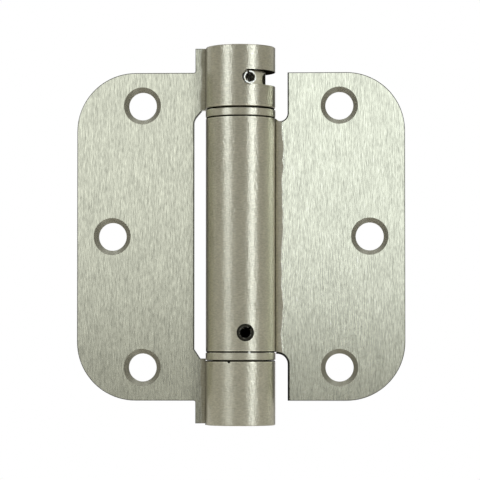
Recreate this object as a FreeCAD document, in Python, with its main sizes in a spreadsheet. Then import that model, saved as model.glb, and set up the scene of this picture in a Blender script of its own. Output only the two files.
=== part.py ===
import FreeCAD, Part

import math
import os

import Sketcher

# A spring loaded door hinge, lying open and flat.
# +Z runs up along the barrel, +X points to the door leaf and -Y to the side that the screws go in from.
# The origin is on the turning axis, half way up the barrel. Sizes are in millimetres and degrees.

SIZES = [
    # the sheet and the barrel
    ("sheet_thickness", 2.6, "thickness of both leaves"),
    ("barrel_radius", 9.4, "outside radius of the rolled knuckles"),
    ("barrel_length", 102.0, "length of the barrel from end to end"),
    ("closing_gap", 1.6, "gap between the two leaves when the hinge is closed"),
    ("bend_radius", 3.2, "inside radius of the bend that leads into a knuckle"),
    ("seam_gap", 0.25, "gap between the rolled end of a knuckle and the leaf"),
    # the leaves seen from the front
    ("leaf_width", 44.45, "turning axis to the outer edge of a leaf"),
    ("leaf_height", 88.9, "height of a leaf"),
    ("corner_radius", 15.875, "radius of the outer corners"),
    ("neck_width", 12.7, "turning axis to the edges of the window and the notches"),
    ("edge_bevel", 0.2, "small bevel along the stamped edges"),
    ("tab_width", 12.3, "turning axis to the outer edges of the frame leaf's two tabs"),
    ("tab_corner", 0.5, "radius of the corner between a tab and the leaf"),
    ("tab_step", 0.4, "lower tab's foot above the foot of its knuckle"),
    ("step_gap", 0.15, "gap beside a bearing's flange, out to a step in a leaf's edge"),
    ("window_top_step", 0.25, "window's top below the foot of the upper knuckle"),
    ("window_foot_step", 0.6, "window's foot above the top of the lower knuckle"),
    ("window_flat", 0.85, "flat along the window's top, beside the barrel"),
    ("window_slope_height", 2.6, "height of the slope in the window's upper corner"),
    ("window_round", 3.0, "radius from that slope into the window's side"),
    ("window_bevel_width", 1.67, "width of the bevel in the window's lower corner"),
    ("window_bevel_height", 2.55, "height of the bevel in the window's lower corner"),
    ("upper_notch_drop", 0.65, "how far the door leaf's upper notch reaches below its knuckle"),
    ("lower_notch_drop", 0.5, "door leaf's edge at the lower notch below the foot of its knuckle"),
    ("notch_slope_width", 0.85, "width of the slope between the knuckle and the upper notch"),
    ("notch_flat", 0.3, "flat between the corner of a notch and the barrel"),
    # the long knuckle and its rings
    ("tube_length", 63.2, "length of the door leaf's knuckle"),
    ("tube_rise", 0.3, "middle of that knuckle above the middle of the barrel"),
    ("ring_thickness", 2.3, "thickness of a bearing's flange"),
    ("ring_proud", 0.05, "how far a flange stands out past the barrel"),
    ("rim_step_depth", 0.35, "radial depth of the step round each face of a flange"),
    ("rim_step_height", 0.17, "height of that step"),
    ("rim_bevel", 0.12, "bevel along the rim of a flange"),
    ("upper_ring_gap", 0.3, "end play, between the upper flange and the knuckle above it"),
    ("lower_ring_gap", 0.06, "gap between the lower flange and the knuckle that it rests on"),
    ("hub_length", 2.2, "length of a bearing's hub inside the tube"),
    # screw holes
    ("screw_hole_radius", 3.8, "radius of a screw hole"),
    ("sink_radius", 5.05, "radius of a countersink at the face"),
    ("sink_angle", 82.0, "full angle of a countersink"),
    ("outer_hole_inset", 17.75, "outer edge of a leaf to its upper and lower holes"),
    ("outer_hole_drop", 8.95, "upper or lower edge of a leaf to the hole next to it"),
    ("middle_hole_inset", 9.55, "outer edge of a leaf to its middle hole"),
    # turning pieces
    ("journal_radius", 4.0, "radius of the journals in the bearings"),
    ("running_fit", 0.05, "radial clearance of what turns in something else"),
    ("loose_fit", 0.1, "clearance of what is dropped in and held by a pin"),
    ("journal_overrun", 0.55, "how far the adjusting plug's journal reaches past its bearing"),
    ("spigot_radius", 3.1, "radius of the spigots inside the spring's end coils"),
    ("plug_top_drop", 0.8, "adjusting plug's top below the top of the barrel"),
    ("plug_foot_rise", 0.8, "pivot plug's foot above the foot of the barrel"),
    ("plug_bevel", 0.5, "bevel at the ends of the plugs"),
    ("key_width", 4.8, "width across the flats of the hexagon socket"),
    ("key_depth", 5.0, "depth of the hexagon socket"),
    ("spigot_length", 3.6, "length of a spigot"),
    # the tension slot and its pin
    ("slot_drop", 8.65, "top of the barrel to the slot's middle"),
    ("slot_half_height", 2.0, "half of the slot's height"),
    ("slot_start", 17.5, "angle from the front to the middle of the slot's first end"),
    ("slot_sweep", 120.0, "angle between the middles of the slot's two ends"),
    ("pin_hole_count", 6.0, "pin holes round the adjusting plug"),
    ("tension_pin_radius", 1.7, "radius of the tension pin"),
    ("tension_pin_bore", 1.3, "radius of the tension pin's bore"),
    ("tension_pin_drop", 0.25, "tension pin's middle below the middle of its slot"),
    ("tension_pin_foot", 2.7, "turning axis to the tension pin's inner end"),
    ("tension_pin_proud", 0.5, "how far the tension pin stands out of the barrel"),
    ("tension_slit_angle", -19.0, "tension pin's slit, clockwise from straight up"),
    # the anchor and its pin
    ("anchor_pin_rise", 5.2, "foot of the long knuckle to the anchor pin"),
    ("anchor_pin_angle", 10.5, "angle from the front to the anchor pin"),
    ("anchor_pin_radius", 2.35, "radius of the anchor pin"),
    ("anchor_pin_bore", 1.4, "radius of the anchor pin's bore"),
    ("anchor_pin_sunk", 0.35, "how far the anchor pin stays below the barrel's surface"),
    ("anchor_pin_reach", 3.0, "how far the anchor pin reaches past the turning axis"),
    ("anchor_slit_angle", 44.0, "anchor pin's slit, clockwise from straight up"),
    ("pin_slit", 0.6, "width of the slit along a rolled pin"),
    ("anchor_height", 7.2, "height of the anchor's body"),
    # the spring
    ("wire_width", 2.2, "width of the spring's square wire"),
    ("coil_radius", 5.1, "radius of the coils at the middle of the wire"),
    ("coil_turns", 16.0, "turns of the spring"),
    ("tang_bend", 1.8, "radius of the bend from a coil into its tang"),
]

FITS = [
    # radii
    ("bore_radius", "Sizes.barrel_radius - Sizes.sheet_thickness"),
    ("roll_middle", "Sizes.barrel_radius - Sizes.sheet_thickness / 2"),
    ("bearing_bore", "Sizes.journal_radius + Sizes.running_fit"),
    ("ring_radius", "Sizes.barrel_radius + Sizes.ring_proud"),
    ("rim_step_radius", "Fits.ring_radius - Sizes.rim_step_depth"),
    ("plug_radius", "Fits.bore_radius - Sizes.running_fit"),
    ("anchor_radius", "Fits.bore_radius - Sizes.loose_fit"),
    # screw holes, counted from the axis and from the middle of the leaf
    ("outer_hole_x", "Sizes.leaf_width - Sizes.outer_hole_inset"),
    ("outer_hole_z", "Sizes.leaf_height / 2 - Sizes.outer_hole_drop"),
    ("middle_hole_x", "Sizes.leaf_width - Sizes.middle_hole_inset"),
    # the section of a leaf
    ("front_face", "Sizes.closing_gap / 2"),
    ("sheet_middle", "Fits.front_face + Sizes.sheet_thickness / 2"),
    ("bend_middle", "Sizes.bend_radius + Sizes.sheet_thickness / 2"),
    ("bend_centre_y", "Fits.sheet_middle + Fits.bend_middle"),
    ("bend_reach", "Fits.roll_middle + Fits.bend_middle"),
    ("bend_centre_x", "sqrt(Fits.bend_reach ^ 2 - Fits.bend_centre_y ^ 2)"),
    # edges beside the barrel, counted from the axis
    ("step_x", "Fits.ring_radius + Sizes.step_gap"),
    ("notch_slope_end", "Fits.ring_radius + Sizes.notch_slope_width"),
    ("upper_notch_corner", "Sizes.neck_width - Fits.notch_slope_end - Sizes.notch_flat"),
    ("lower_notch_corner", "Sizes.neck_width - Fits.step_x - Sizes.notch_flat"),
    # heights of the joints
    ("barrel_half", "Sizes.barrel_length / 2"),
    ("tube_top", "Sizes.tube_rise + Sizes.tube_length / 2"),
    ("tube_foot", "Sizes.tube_rise - Sizes.tube_length / 2"),
    ("slot_height_z", "Fits.barrel_half - Sizes.slot_drop"),
    ("tension_pin_z", "Fits.slot_height_z - Sizes.tension_pin_drop"),
    ("anchor_pin_z", "Fits.tube_foot + Sizes.anchor_pin_rise"),
    ("upper_ring_top", "Fits.tube_top + Sizes.ring_thickness"),
    ("lower_ring_foot", "Fits.tube_foot - Sizes.ring_thickness"),
    ("window_top", "Fits.upper_ring_top + Sizes.upper_ring_gap"),
    ("window_foot", "Fits.lower_ring_foot - Sizes.lower_ring_gap"),
    ("upper_hub_foot", "Fits.tube_top - Sizes.hub_length"),
    ("lower_hub_top", "Fits.tube_foot + Sizes.hub_length"),
    # the pieces in the barrel
    ("plug_top", "Fits.barrel_half - Sizes.plug_top_drop"),
    ("plug_shoulder", "Fits.upper_ring_top + Sizes.running_fit"),
    ("journal_foot", "Fits.upper_hub_foot - Sizes.journal_overrun"),
    ("spigot_foot", "Fits.journal_foot - Sizes.spigot_length"),
    ("pivot_foot", "-Fits.barrel_half + Sizes.plug_foot_rise"),
    ("pivot_shoulder", "Fits.lower_ring_foot - Sizes.running_fit"),
    ("pivot_tip", "Fits.lower_hub_top - Sizes.running_fit"),
    ("anchor_foot", "Fits.lower_hub_top + Sizes.loose_fit"),
    ("anchor_shoulder", "Fits.anchor_foot + Sizes.anchor_height"),
    ("anchor_tip", "Fits.anchor_shoulder + Sizes.spigot_length"),
    ("tang_slot_half", "Sizes.wire_width / 2 + Sizes.loose_fit"),
    ("pin_hole_radius", "Sizes.tension_pin_radius + Sizes.running_fit"),
    # the spring between its two seats
    ("spring_foot", "Fits.anchor_shoulder + Sizes.loose_fit + Sizes.wire_width / 2"),
    ("spring_top", "Fits.journal_foot - Sizes.loose_fit - Sizes.wire_width / 2"),
    ("tang_centre_x", "sqrt((Sizes.coil_radius - Sizes.tang_bend) ^ 2 - Sizes.tang_bend ^ 2)"),
    ("tang_angle", "asin(Sizes.tang_bend / (Sizes.coil_radius - Sizes.tang_bend)) / 1 deg"),
]

BEYOND = 2.0          # how far a cutting outline reaches past the metal
FRONT, BACK = 1, -1   # which way a cut runs from its sketch

doc = FreeCAD.newDocument("DoorHinge")


# Sizes and formulas

def fill_sheet():
    """Keep each driving size in a named cell, with its meaning beside it."""
    sheet = doc.addObject("Spreadsheet::Sheet", "Sizes")
    for row, (name, size, meaning) in enumerate(SIZES, start=1):
        sheet.set(f"A{row}", name)
        sheet.set(f"B{row}", str(size))
        sheet.set(f"C{row}", meaning)
        sheet.setAlias(f"B{row}", name)
    doc.recompute()


def add_fits():
    """Work out the sizes that follow from the driving ones, each by its own formula."""
    fits = doc.addObject("App::VarSet", "Fits")
    for name, formula in FITS:
        fits.addProperty("App::PropertyFloat", name, "Fits")
        fits.setExpression(name, formula)
        doc.recompute()


def value(formula):
    """The number that a formula gives with the sizes as they are."""
    found = doc.Fits.evalExpression(formula)
    return float(getattr(found, "Value", found))


# Sketches

def new_body(label):
    body = doc.addObject("PartDesign::Body", label)
    body.Label = label
    return body


def new_sketch(body, name, role, azimuth="0", reach="0"):
    """A sketch on one of the body's own planes, turned about Z by azimuth and moved out by reach.

    On XZ_Plane the sketch looks at the hinge from the front, and azimuth counts from the front
    towards the door leaf. On XY_Plane only reach counts, and it is a height.
    """
    sketch = body.newObject("Sketcher::SketchObject", name)
    plane = next(part for part in body.Origin.OriginFeatures if part.Role == role)
    sketch.AttachmentSupport = (plane, [""])
    sketch.MapMode = "FlatFace"
    if role == "XZ_Plane":
        turn = FreeCAD.Rotation(FreeCAD.Vector(0, 1, 0), value(azimuth))
        sketch.AttachmentOffset = FreeCAD.Placement(FreeCAD.Vector(), turn)
        sketch.setExpression("AttachmentOffset.Rotation.Angle", f"({azimuth}) * 1 deg")
        sketch.setExpression("AttachmentOffset.Base.x", f"({reach}) * sin(({azimuth}) * 1 deg)")
        sketch.setExpression("AttachmentOffset.Base.z", f"({reach}) * cos(({azimuth}) * 1 deg)")
    else:
        sketch.setExpression("AttachmentOffset.Base.z", reach)
    return sketch


def tie(sketch, name, formula, kind, *where):
    """A measured constraint that follows its formula."""
    index = sketch.addConstraint(Sketcher.Constraint(kind, *where, value(formula)))
    sketch.renameConstraint(index, name)
    sketch.setExpression(f"Constraints.{name}", formula)


def tie_point(sketch, name, geometry, end, x, y):
    tie(sketch, name + "_x", x, "DistanceX", geometry, end)
    tie(sketch, name + "_y", y, "DistanceY", geometry, end)


def at(x, y):
    return FreeCAD.Vector(value(x), value(y), 0)


def arc_through(first, middle, last):
    """The arc through three points, run anticlockwise as a sketch keeps it."""
    circle = Part.Arc(first, middle, last).toShape().Curve
    if circle.Axis.z < 0:
        first, last = last, first
    centre = circle.Center
    start = math.atan2(first.y - centre.y, first.x - centre.x)
    end = math.atan2(last.y - centre.y, last.x - centre.x)
    if end < start:
        end += 2 * math.pi
    return Part.ArcOfCircle(Part.Circle(centre, FreeCAD.Vector(0, 0, 1), circle.Radius), start, end)


def draw_outline(sketch, corners):
    """A closed outline through corners given as (x formula, y formula, round formula or None)."""
    count = len(corners)
    points = [at(x, y) for x, y, _ in corners]
    rounds = [value(corner[2]) if corner[2] else 0.0 for corner in corners]
    starts = []
    ends = []
    arcs = {}
    for i, point in enumerate(points):
        before = (points[i - 1] - point).normalize()
        after = (points[(i + 1) % count] - point).normalize()
        half_angle = before.getAngle(after) / 2
        trim = rounds[i] / math.tan(half_angle)
        ends.append(point + before * trim)
        starts.append(point + after * trim)
        if rounds[i]:
            centre = point + (before + after).normalize() * (rounds[i] / math.sin(half_angle))
            middle = centre - (before + after).normalize() * rounds[i]
            arcs[i] = arc_through(ends[i], middle, starts[i])
    lines = []
    for i in range(count):
        follow = (i + 1) % count
        lines.append(sketch.addGeometry(Part.LineSegment(starts[i], ends[follow]), False))
    for i, (x, y, radius) in enumerate(corners):
        incoming, outgoing = lines[i - 1], lines[i]
        if radius:
            join_round(sketch, f"corner_{i}", arcs[i], points[i], incoming, outgoing, corners[i])
        else:
            sketch.addConstraint(Sketcher.Constraint("Coincident", incoming, 2, outgoing, 1))
            tie_point(sketch, f"corner_{i}", outgoing, 1, x, y)


def join_round(sketch, name, arc, point, incoming, outgoing, corner):
    """Round one corner: the arc is tangent to both lines, and the lines aim at the sharp corner."""
    x, y, radius = corner
    bend = sketch.addGeometry(arc, False)
    sharp = sketch.addGeometry(Part.Point(point), True)
    circle = sketch.Geometry[bend]
    incoming_end = ends_nearest(circle, sketch.Geometry[incoming].EndPoint)
    sketch.addConstraint(Sketcher.Constraint("Tangent", incoming, 2, bend, incoming_end))
    sketch.addConstraint(Sketcher.Constraint("Tangent", outgoing, 1, bend, 3 - incoming_end))
    tie(sketch, name + "_round", radius, "Radius", bend)
    tie_point(sketch, name, sharp, 1, x, y)
    sketch.addConstraint(Sketcher.Constraint("PointOnObject", sharp, 1, incoming))
    sketch.addConstraint(Sketcher.Constraint("PointOnObject", sharp, 1, outgoing))


def ends_nearest(arc, point):
    """1 if the arc starts at the point, 2 if it ends there."""
    return 1 if arc.StartPoint.distanceToPoint(point) < arc.EndPoint.distanceToPoint(point) else 2


def draw_circle(sketch, name, x, y, radius):
    circle = Part.Circle(at(x, y), FreeCAD.Vector(0, 0, 1), value(radius))
    index = sketch.addGeometry(circle, False)
    tie_point(sketch, name, index, 3, x, y)
    tie(sketch, name + "_radius", radius, "Radius", index)


# Features

def cut_through(body, name, sketch):
    """Cut the outline right through, both ways from its plane."""
    cut = body.newObject("PartDesign::Pocket", name)
    cut.Profile = sketch
    cut.Type = "ThroughAll"
    cut.SideType = "Symmetric"
    return settle(body, cut)


def cut_one_way(body, name, sketch, depth, way):
    """Cut the outline to a depth, to the front of its plane or to the back of it."""
    cut = body.newObject("PartDesign::Pocket", name)
    cut.Profile = sketch
    cut.Type = "Length"
    cut.Reversed = way == FRONT
    cut.setExpression("Length", depth)
    return settle(body, cut)


def settle(body, feature):
    """Recompute and make sure that a cut took metal away."""
    base = feature.BaseFeature
    doc.recompute()
    if base and not feature.Shape.isNull() and feature.Shape.Volume >= base.Shape.Volume - 1e-6:
        raise RuntimeError(f"{body.Label}: {feature.Name} cuts nothing")
    return feature


def revolve(body, name, sketch):
    turned = body.newObject("PartDesign::Revolution", name)
    turned.Profile = sketch
    turned.ReferenceAxis = (sketch, ["V_Axis"])
    turned.Angle = 360
    doc.recompute()
    return turned


# The leaves

def draw_leaf_section(sketch, side):
    """The section of a leaf: a flat sheet, an S bend behind it and the roll round the axis.

    side is -1 for the leaf on the left and 1 for the leaf on the right.
    """
    thickness = value("Sizes.sheet_thickness")
    outer, bore = value("Sizes.barrel_radius"), value("Fits.bore_radius")
    inner_bend = value("Sizes.bend_radius")
    front = value("Fits.front_face")
    centre = FreeCAD.Vector(side * value("Fits.bend_centre_x"), value("Fits.bend_centre_y"), 0)
    edge_x = side * value("Sizes.leaf_width")
    seam_y = front - value("Sizes.seam_gap")
    to_axis = FreeCAD.Vector(-centre.x, -centre.y, 0).normalize()
    down = FreeCAD.Vector(0, -1, 0)
    half_turn = (to_axis + down).normalize()
    seam_angle = math.asin(seam_y / outer)
    seam = FreeCAD.Vector(side * math.cos(seam_angle), math.sin(seam_angle), 0)
    far_side = FreeCAD.Vector(-side, 0, 0)

    def bend_arc(radius):
        return arc_through(
            centre + down * radius, centre + half_turn * radius, centre + to_axis * radius)

    def roll_arc(radius):
        return arc_through(to_axis * -radius, far_side * radius, seam * radius)

    front_line = sketch.addGeometry(
        Part.LineSegment(FreeCAD.Vector(edge_x, front, 0), FreeCAD.Vector(centre.x, front, 0)), False)
    front_bend = sketch.addGeometry(bend_arc(inner_bend + thickness), False)
    bore_roll = sketch.addGeometry(roll_arc(bore), False)
    seam_line = sketch.addGeometry(Part.LineSegment(seam * bore, seam * outer), False)
    outer_roll = sketch.addGeometry(roll_arc(outer), False)
    back_bend = sketch.addGeometry(bend_arc(inner_bend), False)
    back = front + thickness
    back_line = sketch.addGeometry(
        Part.LineSegment(FreeCAD.Vector(centre.x, back, 0), FreeCAD.Vector(edge_x, back, 0)), False)
    edge_line = sketch.addGeometry(
        Part.LineSegment(FreeCAD.Vector(edge_x, back, 0), FreeCAD.Vector(edge_x, front, 0)), False)

    def end_at(index, point):
        return ends_nearest(sketch.Geometry[index], point)

    def meet(kind, first, second, point):
        where = (first, end_at(first, point), second, end_at(second, point))
        sketch.addConstraint(Sketcher.Constraint(kind, *where))

    meet("Tangent", front_line, front_bend, centre + down * (inner_bend + thickness))
    meet("Tangent", front_bend, bore_roll, to_axis * -bore)
    meet("Coincident", bore_roll, seam_line, seam * bore)
    meet("Coincident", seam_line, outer_roll, seam * outer)
    meet("Tangent", outer_roll, back_bend, to_axis * -outer)
    meet("Tangent", back_bend, back_line, centre + down * inner_bend)
    meet("Coincident", back_line, edge_line, FreeCAD.Vector(edge_x, back, 0))
    meet("Coincident", edge_line, front_line, FreeCAD.Vector(edge_x, front, 0))
    for roll in (bore_roll, outer_roll):
        sketch.addConstraint(Sketcher.Constraint("Coincident", roll, 3, -1, 1))
    sketch.addConstraint(Sketcher.Constraint("Coincident", front_bend, 3, back_bend, 3))
    sketch.addConstraint(Sketcher.Constraint("Horizontal", front_line))
    sketch.addConstraint(Sketcher.Constraint("Horizontal", back_line))
    sketch.addConstraint(Sketcher.Constraint("Vertical", edge_line))
    sketch.addConstraint(Sketcher.Constraint("PointOnObject", -1, 1, seam_line))
    tie(sketch, "roll_radius", "Sizes.barrel_radius", "Radius", outer_roll)
    tie(sketch, "bend_radius", "Sizes.bend_radius", "Radius", back_bend)
    tie(sketch, "front_face", "Fits.front_face", "DistanceY", front_line, 1)
    tie(sketch, "back_face", "Fits.front_face + Sizes.sheet_thickness", "DistanceY", back_line, 2)
    tie(sketch, "leaf_width", f"{side} * Sizes.leaf_width", "DistanceX", front_line, 1)
    seam_height = "Fits.front_face - Sizes.seam_gap"
    tie(sketch, "seam_height", seam_height, "DistanceY", seam_line, 2)


def new_leaf(label, side, height):
    """The rolled sheet at its full height, before anything is cut out of it."""
    body = new_body(label)
    section = new_sketch(body, label + "_section", "XY_Plane")
    draw_leaf_section(section, side)
    sheet = body.newObject("PartDesign::Pad", label + "_sheet")
    sheet.Profile = section
    sheet.SideType = "Symmetric"
    sheet.setExpression("Length", height)
    doc.recompute()
    return body


def cut_outer_corners(body, side, top):
    """Round the leaf's outer corners, and cut away what stands above and below the leaf."""
    edge, far = f"{side} * Sizes.leaf_width", f"{side} * (Sizes.leaf_width + {BEYOND})"
    tab = f"{side} * Sizes.tab_width"
    leaf_top = "Sizes.leaf_height / 2"
    start = f"{leaf_top} - Sizes.corner_radius - {BEYOND}"
    above = f"{top} + {BEYOND}"
    sketch = new_sketch(body, body.Label + "_corner_outline", "XZ_Plane")
    draw_outline(sketch, [
        (far, start, None),
        (edge, start, None),
        (edge, leaf_top, "Sizes.corner_radius"),
        (tab, leaf_top, "Sizes.tab_corner"),
        (tab, above, None),
        (far, above, None),
    ])
    upper = cut_through(body, body.Label + "_upper_corner", sketch)
    lower = body.newObject("PartDesign::Mirrored", body.Label + "_lower_corner")
    lower.Originals = [upper]
    plane = next(part for part in body.Origin.OriginFeatures if part.Role == "XY_Plane")
    lower.MirrorPlane = (plane, [""])
    body.Tip = lower
    doc.recompute()


def drill_screw_holes(body, side):
    """Three countersunk holes, sunk from the front face."""
    sketch = new_sketch(body, body.Label + "_hole_centres", "XZ_Plane", reach="-Fits.front_face")
    outer_x, middle_x = f"{side} * Fits.outer_hole_x", f"{side} * Fits.middle_hole_x"
    radius = "Sizes.screw_hole_radius"
    draw_circle(sketch, "upper", outer_x, "Fits.outer_hole_z", radius)
    draw_circle(sketch, "middle", middle_x, "0", radius)
    draw_circle(sketch, "lower", outer_x, "-Fits.outer_hole_z", radius)
    doc.recompute()
    holes = body.newObject("PartDesign::Hole", body.Label + "_screw_holes")
    holes.Profile = sketch
    doc.recompute()
    holes.ThreadType = "None"
    holes.DepthType = "ThroughAll"
    holes.HoleCutType = "Countersink"
    holes.HoleCutCustomValues = True
    holes.setExpression("Diameter", "2 * Sizes.screw_hole_radius")
    holes.setExpression("HoleCutDiameter", "2 * Sizes.sink_radius")
    holes.setExpression("HoleCutCountersinkAngle", "Sizes.sink_angle")
    settle(body, holes)


def bevel_edges(body):
    """Bevel the stamped outline and the knuckles' ends, but not the holes or the tension slot."""
    front, back = value("Fits.front_face"), value("Fits.front_face + Sizes.sheet_thickness")
    bend, roll = value("Fits.bend_centre_x"), value("Sizes.barrel_radius")
    slot_middle, slot_half = value("Fits.slot_height_z"), value("Sizes.slot_half_height")
    near = 1e-4

    def stamped(edge):
        if edge.isClosed():
            return False
        half_way = (edge.FirstParameter + edge.LastParameter) / 2
        spots = [edge.valueAt(p) for p in (edge.FirstParameter, half_way, edge.LastParameter)]
        level = all(abs(spot.z - spots[0].z) < near for spot in spots)
        in_slot = abs(spots[0].z - slot_middle) < slot_half + near
        if level and not in_slot and all(abs(math.hypot(s.x, s.y) - roll) < near for s in spots):
            return True
        beyond_bend = max(abs(spot.x) for spot in spots) > bend + near
        return beyond_bend and any(all(abs(s.y - face) < near for s in spots) for face in (front, back))

    base = body.Tip
    edges = [f"Edge{i}" for i, edge in enumerate(base.Shape.Edges, start=1) if stamped(edge)]
    bevel = body.newObject("PartDesign::Chamfer", body.Label + "_bevelled_edges")
    bevel.Base = (base, edges)
    bevel.setExpression("Size", "Sizes.edge_bevel")
    doc.recompute()


def cut_tension_slot(body):
    """The slot round the top knuckle that the tension pin travels in, with rounded ends."""
    half, middle = "Sizes.slot_half_height", "Fits.slot_height_z"
    inside, outside = f"Fits.bore_radius - {BEYOND}", f"Sizes.barrel_radius + {BEYOND}"
    centre = "Sizes.slot_start + Sizes.slot_sweep / 2 - 90"
    sketch = new_sketch(body, "slot_section", "XZ_Plane", azimuth=centre)
    draw_outline(sketch, [
        (inside, f"{middle} - {half}", None),
        (outside, f"{middle} - {half}", None),
        (outside, f"{middle} + {half}", None),
        (inside, f"{middle} + {half}", None),
    ])
    slot = body.newObject("PartDesign::Groove", "tension_slot")
    slot.Profile = sketch
    slot.ReferenceAxis = (sketch, ["V_Axis"])
    slot.Midplane = True
    slot.setExpression("Angle", "Sizes.slot_sweep")
    settle(body, slot)
    for name, angle in (("first", "Sizes.slot_start"), ("last", "Sizes.slot_start + Sizes.slot_sweep")):
        end = new_sketch(body, f"slot_{name}_end", "XZ_Plane", azimuth=angle)
        draw_circle(end, "end", "0", middle, half)
        cut_one_way(body, f"slot_{name}_round", end, outside, FRONT)


def build_frame_leaf():
    body = new_leaf("frame_leaf", -1, "Sizes.barrel_length")
    cut_outer_corners(body, -1, "Fits.barrel_half")
    right, neck = f"Sizes.barrel_radius + {BEYOND}", "-Sizes.neck_width"
    leaf_window_top = "Fits.window_top - Sizes.window_top_step"
    leaf_window_foot = "Fits.window_foot + Sizes.window_foot_step"
    window = new_sketch(body, "window_outline", "XZ_Plane")
    draw_outline(window, [
        (right, "Fits.window_foot", None),
        (right, "Fits.window_top", None),
        ("-Fits.step_x", "Fits.window_top", None),
        ("-Fits.step_x", leaf_window_top, None),
        ("-Fits.step_x - Sizes.window_flat", leaf_window_top, None),
        (neck, f"{leaf_window_top} - Sizes.window_slope_height", "Sizes.window_round"),
        (neck, f"{leaf_window_foot} + Sizes.window_bevel_height", None),
        (f"{neck} + Sizes.window_bevel_width", leaf_window_foot, None),
        ("-Fits.step_x", leaf_window_foot, None),
        ("-Fits.step_x", "Fits.window_foot", None),
    ])
    cut_through(body, "window", window)
    past_tab, below = f"-Sizes.tab_width - {BEYOND}", f"-Fits.barrel_half - {BEYOND}"
    foot = new_sketch(body, "tab_foot_outline", "XZ_Plane")
    draw_outline(foot, [
        (past_tab, below, None),
        ("-Fits.step_x", below, None),
        ("-Fits.step_x", "-Fits.barrel_half + Sizes.tab_step", None),
        (past_tab, "-Fits.barrel_half + Sizes.tab_step", None),
    ])
    cut_through(body, "tab_foot", foot)
    drill_screw_holes(body, -1)
    cut_tension_slot(body)
    bevel_edges(body)
    return body


def build_door_leaf():
    body = new_leaf("door_leaf", 1, "Sizes.leaf_height")
    cut_outer_corners(body, 1, "Sizes.leaf_height / 2")
    left, neck = f"-Fits.ring_radius - {BEYOND}", "Sizes.neck_width"
    above = f"Sizes.leaf_height / 2 + {BEYOND}"
    upper_edge = "Fits.tube_top - Sizes.upper_notch_drop"
    lower_edge = "Fits.tube_foot - Sizes.lower_notch_drop"
    upper = new_sketch(body, "upper_notch_outline", "XZ_Plane")
    draw_outline(upper, [
        (left, "Fits.tube_top", None),
        ("Fits.ring_radius", "Fits.tube_top", None),
        ("Fits.notch_slope_end", upper_edge, None),
        (neck, upper_edge, "Fits.upper_notch_corner"),
        (neck, above, None),
        (left, above, None),
    ])
    cut_through(body, "upper_notch", upper)
    lower = new_sketch(body, "lower_notch_outline", "XZ_Plane")
    draw_outline(lower, [
        (left, "Fits.tube_foot", None),
        (left, f"-({above})", None),
        (neck, f"-({above})", None),
        (neck, lower_edge, "Fits.lower_notch_corner"),
        ("Fits.step_x", lower_edge, None),
        ("Fits.step_x", "Fits.tube_foot", None),
    ])
    cut_through(body, "lower_notch", lower)
    drill_screw_holes(body, 1)
    pin_hole = new_sketch(body, "anchor_hole_outline", "XZ_Plane", azimuth="Sizes.anchor_pin_angle")
    draw_circle(pin_hole, "hole", "0", "Fits.anchor_pin_z", "Sizes.anchor_pin_radius")
    cut_one_way(body, "anchor_hole", pin_hole, f"Sizes.barrel_radius + {BEYOND}", FRONT)
    bevel_edges(body)
    return body


# The turned pieces

def turn_body(label, corners):
    """A piece turned on the lathe, from its half section."""
    body = new_body(label)
    sketch = new_sketch(body, label + "_section", "XZ_Plane")
    draw_outline(sketch, corners)
    revolve(body, label + "_turned", sketch)
    return body


def set_azimuth(body, azimuth):
    """Turn the whole piece about the axis."""
    body.Placement.Rotation = FreeCAD.Rotation(FreeCAD.Vector(0, 0, 1), value(azimuth))
    body.setExpression("Placement.Rotation.Angle", f"({azimuth}) * 1 deg")
    doc.recompute()


def cut_tang_slot(body, height, way):
    """The slot across a spigot that holds the spring's tang."""
    half, reach = "Fits.tang_slot_half", f"(Sizes.spigot_radius + {BEYOND})"
    sketch = new_sketch(body, body.Label + "_tang_outline", "XY_Plane", reach=height)
    draw_outline(sketch, [
        (f"-{reach}", f"-{half}", None),
        (reach, f"-{half}", None),
        (reach, half, None),
        (f"-{reach}", half, None),
    ])
    cut_one_way(body, body.Label + "_tang_slot", sketch, "Sizes.spigot_length", way)


def build_bearing(label, seat, flange, hub, way):
    """A flanged ring: its flange lies on the tube's end, and its hub sits in the bore.

    The flange has a small step round both faces, which shows as a dark line at each joint.
    """
    step, bevel = f"{way} * Sizes.rim_step_height", f"{way} * Sizes.rim_bevel"
    return turn_body(label, [
        ("Fits.bearing_bore", hub, None),
        ("Fits.bearing_bore", flange, None),
        ("Fits.rim_step_radius", flange, None),
        ("Fits.rim_step_radius", f"{flange} - {step}", None),
        ("Fits.ring_radius - Sizes.rim_bevel", f"{flange} - {step}", None),
        ("Fits.ring_radius", f"{flange} - {step} - {bevel}", None),
        ("Fits.ring_radius", f"{seat} + {step} + {bevel}", None),
        ("Fits.ring_radius - Sizes.rim_bevel", f"{seat} + {step}", None),
        ("Fits.rim_step_radius", f"{seat} + {step}", None),
        ("Fits.rim_step_radius", seat, None),
        ("Fits.bore_radius", seat, None),
        ("Fits.bore_radius", hub, None),
    ])


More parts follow.
